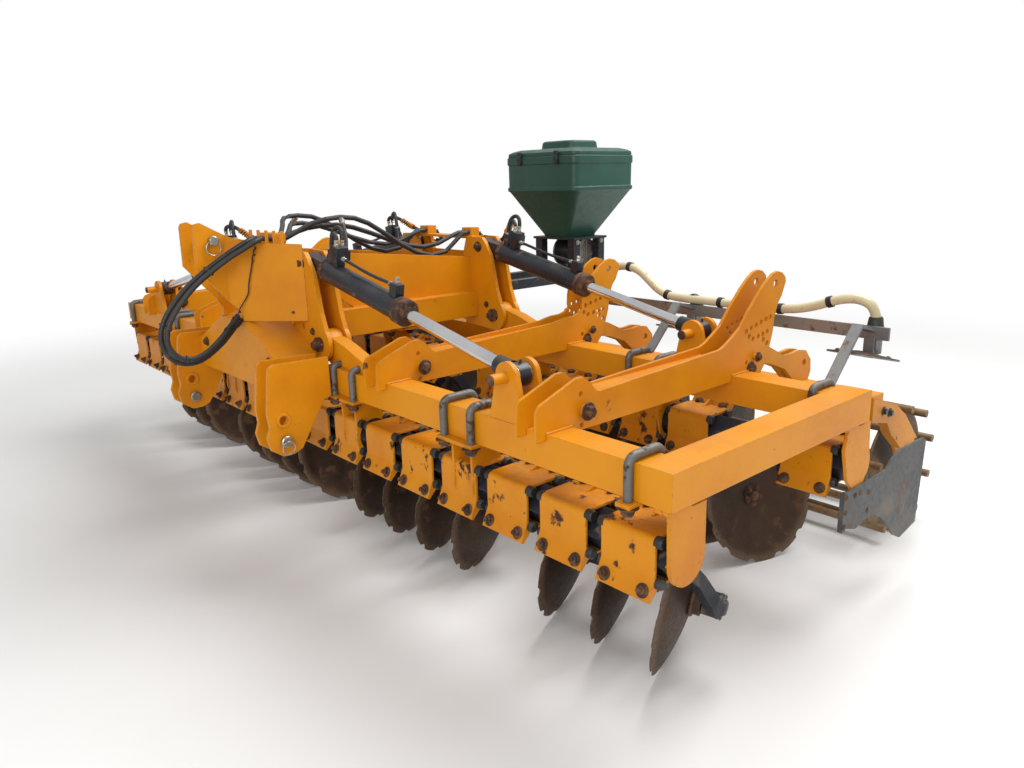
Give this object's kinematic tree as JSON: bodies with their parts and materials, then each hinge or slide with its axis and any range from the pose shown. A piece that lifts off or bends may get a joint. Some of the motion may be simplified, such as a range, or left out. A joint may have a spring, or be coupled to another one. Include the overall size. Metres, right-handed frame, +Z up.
{
  "type": "folding compact disc harrow",
  "caption": "Mounted compact disc harrow with two hydraulically folded wings of individually hung notched discs, cage rollers and a pneumatic seed box.",
  "frame": {"origin": "on the ground, at the middle of the machine's length and width", "axes": "+X forward in the travel direction, +Y to the machine's left, +Z up"},
  "size_m": [2.8378, 4.42, 1.835],
  "materials": {
    "yellow_paint": "satin",
    "disc_steel": "worn and rusted",
    "grey_metal": "satin",
    "roller_steel": "worn",
    "black_metal": "gloss",
    "chrome_rod": "polished",
    "galvanised": "dull",
    "pin_steel": "worn",
    "green_plastic": "satin",
    "clear_hose": "gloss",
    "black_rubber": "matte"
  },
  "bodies": {
    "chassis": {"chassis_front": "yellow_paint", "chassis_rear": "yellow_paint", "hitch_mast": "yellow_paint", "frame_pins": "pin_steel", "lower_clevises": "yellow_paint", "hydraulic_lines": "black_rubber", "hose_loop_1": "black_rubber", "hose_loop_2": "black_rubber", "seed_box": "green_plastic", "seed_stand": "black_metal", "seed_fan": "black_metal"},
    "left_wing": {"left_beams": "yellow_paint", "left_members": "yellow_paint", "left_front_gang": "yellow_paint", "left_rear_gang": "yellow_paint", "left_roller_frame": "yellow_paint", "left_deflector": "grey_metal", "left_seed_bar": "galvanised", "left_seed_hose": "clear_hose"},
    "left_barrels": {"left_barrels": "black_metal"},
    "left_rods": {"left_rods": "chrome_rod"},
    "left_roller": {"left_roller": "roller_steel"},
    "left_front_disc_1": {"left_front_disc_1": "disc_steel"},
    "left_front_disc_2": {"left_front_disc_2": "disc_steel"},
    "left_front_disc_3": {"left_front_disc_3": "disc_steel"},
    "left_front_disc_5": {"left_front_disc_5": "disc_steel"},
    "left_front_disc_6": {"left_front_disc_6": "disc_steel"},
    "left_front_disc_7": {"left_front_disc_7": "disc_steel"},
    "left_front_disc_8": {"left_front_disc_8": "disc_steel"},
    "left_rear_disc_1": {"left_rear_disc_1": "disc_steel"},
    "left_rear_disc_2": {"left_rear_disc_2": "disc_steel"},
    "left_rear_disc_3": {"left_rear_disc_3": "disc_steel"},
    "left_rear_disc_4": {"left_rear_disc_4": "disc_steel"},
    "left_rear_disc_5": {"left_rear_disc_5": "disc_steel"},
    "left_rear_disc_6": {"left_rear_disc_6": "disc_steel"},
    "right_wing": {"right_beams": "yellow_paint", "right_members": "yellow_paint", "right_front_gang": "yellow_paint", "right_rear_gang": "yellow_paint", "right_roller_frame": "yellow_paint", "right_deflector": "grey_metal", "right_seed_bar": "galvanised", "right_seed_hose": "clear_hose"},
    "right_barrels": {"right_barrels": "black_metal"},
    "right_rods": {"right_rods": "chrome_rod"},
    "right_roller": {"right_roller": "roller_steel"},
    "right_front_disc_1": {"right_front_disc_1": "disc_steel"},
    "right_front_disc_2": {"right_front_disc_2": "disc_steel"},
    "right_front_disc_3": {"right_front_disc_3": "disc_steel"},
    "right_front_disc_5": {"right_front_disc_5": "disc_steel"},
    "right_front_disc_6": {"right_front_disc_6": "disc_steel"},
    "right_front_disc_7": {"right_front_disc_7": "disc_steel"},
    "right_front_disc_8": {"right_front_disc_8": "disc_steel"},
    "right_rear_disc_1": {"right_rear_disc_1": "disc_steel"},
    "right_rear_disc_2": {"right_rear_disc_2": "disc_steel"},
    "right_rear_disc_3": {"right_rear_disc_3": "disc_steel"},
    "right_rear_disc_4": {"right_rear_disc_4": "disc_steel"},
    "right_rear_disc_5": {"right_rear_disc_5": "disc_steel"},
    "right_rear_disc_6": {"right_rear_disc_6": "disc_steel"}
  },
  "joints": [
    {"name": "left_fold", "type": "hinge", "parent": "chassis", "child": "left_wing", "pos_m": [0, 0.412, 0.978], "axis": [1, 0, 0], "range_deg": [0, 90]},
    {"name": "left_cylinder_turn", "type": "hinge", "parent": "chassis", "child": "left_barrels", "pos_m": [0, 0.308, 1.307], "axis": [1, 0, 0], "range_deg": [0, 99.4]},
    {"name": "left_cylinder_slide", "type": "slide", "parent": "left_barrels", "child": "left_rods", "axis": [0, 0.9783, -0.2072], "range_m": [-0.463, 0]},
    {"name": "left_roller_spin", "type": "hinge", "parent": "left_wing", "child": "left_roller", "pos_m": [-1.027, 1.1, 0.305], "axis": [0, 1, 0], "continuous": true},
    {"name": "left_front_disc_1_spin", "type": "hinge", "parent": "left_wing", "child": "left_front_disc_1", "pos_m": [0.543, 1.92, 0.27728], "axis": [0.371, -0.9182, 0.1392], "continuous": true},
    {"name": "left_front_disc_2_spin", "type": "hinge", "parent": "left_wing", "child": "left_front_disc_2", "pos_m": [0.543, 1.67, 0.27728], "axis": [0.371, -0.9182, 0.1392], "continuous": true},
    {"name": "left_front_disc_3_spin", "type": "hinge", "parent": "left_wing", "child": "left_front_disc_3", "pos_m": [0.543, 1.42, 0.27728], "axis": [0.371, -0.9182, 0.1392], "continuous": true},
    {"name": "left_front_disc_5_spin", "type": "hinge", "parent": "left_wing", "child": "left_front_disc_5", "pos_m": [0.543, 0.92, 0.27728], "axis": [0.371, -0.9182, 0.1392], "continuous": true},
    {"name": "left_front_disc_6_spin", "type": "hinge", "parent": "left_wing", "child": "left_front_disc_6", "pos_m": [0.543, 0.67, 0.27728], "axis": [0.371, -0.9182, 0.1392], "continuous": true},
    {"name": "left_front_disc_7_spin", "type": "hinge", "parent": "left_wing", "child": "left_front_disc_7", "pos_m": [0.543, 0.42, 0.27728], "axis": [0.371, -0.9182, 0.1392], "continuous": true},
    {"name": "left_front_disc_8_spin", "type": "hinge", "parent": "left_wing", "child": "left_front_disc_8", "pos_m": [0.543, 0.17, 0.27728], "axis": [0.371, -0.9182, 0.1392], "continuous": true},
    {"name": "left_rear_disc_1_spin", "type": "hinge", "parent": "left_wing", "child": "left_rear_disc_1", "pos_m": [-0.367, 1.68, 0.27388], "axis": [0.3023, 0.9303, 0.2079], "continuous": true},
    {"name": "left_rear_disc_2_spin", "type": "hinge", "parent": "left_wing", "child": "left_rear_disc_2", "pos_m": [-0.367, 1.43, 0.27388], "axis": [0.3023, 0.9303, 0.2079], "continuous": true},
    {"name": "left_rear_disc_3_spin", "type": "hinge", "parent": "left_wing", "child": "left_rear_disc_3", "pos_m": [-0.367, 1.18, 0.27388], "axis": [0.3023, 0.9303, 0.2079], "continuous": true},
    {"name": "left_rear_disc_4_spin", "type": "hinge", "parent": "left_wing", "child": "left_rear_disc_4", "pos_m": [-0.367, 0.93, 0.27388], "axis": [0.3023, 0.9303, 0.2079], "continuous": true},
    {"name": "left_rear_disc_5_spin", "type": "hinge", "parent": "left_wing", "child": "left_rear_disc_5", "pos_m": [-0.367, 0.68, 0.27388], "axis": [0.3023, 0.9303, 0.2079], "continuous": true},
    {"name": "left_rear_disc_6_spin", "type": "hinge", "parent": "left_wing", "child": "left_rear_disc_6", "pos_m": [-0.367, 0.43, 0.27388], "axis": [0.3023, 0.9303, 0.2079], "continuous": true},
    {"name": "right_fold", "type": "hinge", "parent": "chassis", "child": "right_wing", "pos_m": [0, -0.412, 0.978], "axis": [-1, 0, 0], "range_deg": [0, 90]},
    {"name": "right_cylinder_turn", "type": "hinge", "parent": "chassis", "child": "right_barrels", "pos_m": [0, -0.308, 1.307], "axis": [-1, 0, 0], "range_deg": [0, 99.4]},
    {"name": "right_cylinder_slide", "type": "slide", "parent": "right_barrels", "child": "right_rods", "axis": [0, -0.9783, -0.2072], "range_m": [-0.463, 0]},
    {"name": "right_roller_spin", "type": "hinge", "parent": "right_wing", "child": "right_roller", "pos_m": [-1.027, -1.1, 0.305], "axis": [0, 1, 0], "continuous": true},
    {"name": "right_front_disc_1_spin", "type": "hinge", "parent": "right_wing", "child": "right_front_disc_1", "pos_m": [0.543, -1.92, 0.27728], "axis": [0.371, 0.9182, 0.1392], "continuous": true},
    {"name": "right_front_disc_2_spin", "type": "hinge", "parent": "right_wing", "child": "right_front_disc_2", "pos_m": [0.543, -1.67, 0.27728], "axis": [0.371, 0.9182, 0.1392], "continuous": true},
    {"name": "right_front_disc_3_spin", "type": "hinge", "parent": "right_wing", "child": "right_front_disc_3", "pos_m": [0.543, -1.42, 0.27728], "axis": [0.371, 0.9182, 0.1392], "continuous": true},
    {"name": "right_front_disc_5_spin", "type": "hinge", "parent": "right_wing", "child": "right_front_disc_5", "pos_m": [0.543, -0.92, 0.27728], "axis": [0.371, 0.9182, 0.1392], "continuous": true},
    {"name": "right_front_disc_6_spin", "type": "hinge", "parent": "right_wing", "child": "right_front_disc_6", "pos_m": [0.543, -0.67, 0.27728], "axis": [0.371, 0.9182, 0.1392], "continuous": true},
    {"name": "right_front_disc_7_spin", "type": "hinge", "parent": "right_wing", "child": "right_front_disc_7", "pos_m": [0.543, -0.42, 0.27728], "axis": [0.371, 0.9182, 0.1392], "continuous": true},
    {"name": "right_front_disc_8_spin", "type": "hinge", "parent": "right_wing", "child": "right_front_disc_8", "pos_m": [0.543, -0.17, 0.27728], "axis": [0.371, 0.9182, 0.1392], "continuous": true},
    {"name": "right_rear_disc_1_spin", "type": "hinge", "parent": "right_wing", "child": "right_rear_disc_1", "pos_m": [-0.367, -1.68, 0.27388], "axis": [0.3023, -0.9303, 0.2079], "continuous": true},
    {"name": "right_rear_disc_2_spin", "type": "hinge", "parent": "right_wing", "child": "right_rear_disc_2", "pos_m": [-0.367, -1.43, 0.27388], "axis": [0.3023, -0.9303, 0.2079], "continuous": true},
    {"name": "right_rear_disc_3_spin", "type": "hinge", "parent": "right_wing", "child": "right_rear_disc_3", "pos_m": [-0.367, -1.18, 0.27388], "axis": [0.3023, -0.9303, 0.2079], "continuous": true},
    {"name": "right_rear_disc_4_spin", "type": "hinge", "parent": "right_wing", "child": "right_rear_disc_4", "pos_m": [-0.367, -0.93, 0.27388], "axis": [0.3023, -0.9303, 0.2079], "continuous": true},
    {"name": "right_rear_disc_5_spin", "type": "hinge", "parent": "right_wing", "child": "right_rear_disc_5", "pos_m": [-0.367, -0.68, 0.27388], "axis": [0.3023, -0.9303, 0.2079], "continuous": true},
    {"name": "right_rear_disc_6_spin", "type": "hinge", "parent": "right_wing", "child": "right_rear_disc_6", "pos_m": [-0.367, -0.43, 0.27388], "axis": [0.3023, -0.9303, 0.2079], "continuous": true}
  ],
  "couplings": [
    {"joint": "left_cylinder_turn", "follows": "left_fold", "ratio": 1.0994},
    {"joint": "left_cylinder_slide", "follows": "left_fold", "m_per_rad": -0.29286},
    {"joint": "right_cylinder_turn", "follows": "right_fold", "ratio": 1.0994},
    {"joint": "right_cylinder_slide", "follows": "right_fold", "m_per_rad": -0.29286}
  ]
}
